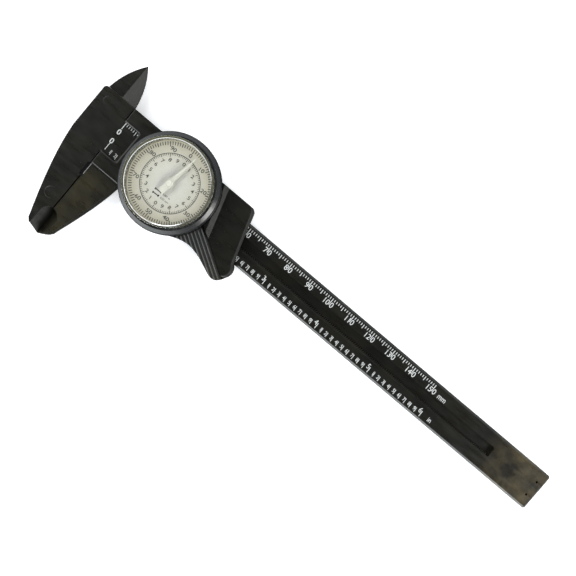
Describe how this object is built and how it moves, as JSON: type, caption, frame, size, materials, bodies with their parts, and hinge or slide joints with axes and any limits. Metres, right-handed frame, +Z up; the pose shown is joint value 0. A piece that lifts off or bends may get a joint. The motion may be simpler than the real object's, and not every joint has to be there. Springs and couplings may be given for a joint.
{
  "type": "dial caliper",
  "caption": "Moulded plastic dial caliper with outside, inside and depth jaws, a sliding dial head on a long scale beam, a turning bezel and a thumb grip.",
  "frame": {"origin": "on the rest plane, where the fixed jaw's measuring face crosses the middle line of the beam", "axes": "+X along the beam towards its free end, +Y towards the small inside jaws, +Z up out of the dial"},
  "size_m": [0.2201, 0.0744, 0.017],
  "materials": {
    "black_plastic": "fine moulded satin",
    "gloss_black": "smooth moulded gloss",
    "clear_crystal": "clear moulded acrylic",
    "dial_cream": "printed matt cream",
    "hand_white": "moulded ivory",
    "steel": "ground",
    "brass": "turned"
  },
  "bodies": {
    "beam": {"beam": "black_plastic", "rack_strip": "black_plastic", "end_plate": "black_plastic", "end_pins": "steel"},
    "slider": {"slider_frame": "black_plastic", "tail_cover": "black_plastic", "back_cover": "black_plastic", "cover_screws": "steel", "depth_rod": "steel", "depth_rod_rivet": "brass", "gib_spring": "steel", "stop_key": "black_plastic", "main_plate": "brass", "pinion_bush": "brass", "bridge_pillars": "brass", "movement_bridge": "brass", "bridge_screws": "steel", "bezel_snap_ring": "steel"},
    "bezel": {"bezel_ring": "gloss_black", "crystal": "clear_crystal", "dial_face": "dial_cream"},
    "pinion": {"rack_pinion": "brass", "pinion_gear": "brass"},
    "intermediate": {"intermediate_gear": "brass", "intermediate_arbor": "steel", "inch_wheel": "brass", "mm_wheel": "brass"},
    "inch_pointer": {"inch_arbor": "steel", "inch_hand": "hand_white", "hand_cap": "hand_white"},
    "mm_pointer": {"mm_arbor": "brass", "mm_hand": "hand_white"}
  },
  "joints": [
    {"name": "slide", "type": "slide", "parent": "beam", "child": "slider", "axis": [1, 0, 0], "range_m": [-0.00008, 0.15]},
    {"name": "bezel_turn", "type": "hinge", "parent": "slider", "child": "bezel", "pos_m": [0.02835, 0, 0.011], "axis": [0, 0, 1], "continuous": true},
    {"name": "pinion_spin", "type": "hinge", "parent": "slider", "child": "pinion", "pos_m": [0.01845, 0.00037, 0.005], "axis": [0, 0, 1], "continuous": true},
    {"name": "intermediate_spin", "type": "hinge", "parent": "slider", "child": "intermediate", "pos_m": [0.02185, 0.00375, 0.0075], "axis": [0, 0, 1], "continuous": true},
    {"name": "inch_pointer_spin", "type": "hinge", "parent": "slider", "child": "inch_pointer", "pos_m": [0.02835, 0, 0.01], "axis": [0, 0, 1], "continuous": true},
    {"name": "mm_pointer_spin", "type": "hinge", "parent": "slider", "child": "mm_pointer", "pos_m": [0.02835, 0, 0.01], "axis": [0, 0, 1], "continuous": true}
  ],
  "couplings": [
    {"joint": "pinion_spin", "follows": "slide", "rad_per_m": -618.42},
    {"joint": "intermediate_spin", "follows": "slide", "rad_per_m": 618.42},
    {"joint": "inch_pointer_spin", "follows": "slide", "rad_per_m": -2473.7},
    {"joint": "mm_pointer_spin", "follows": "slide", "rad_per_m": -3141.6}
  ]
}
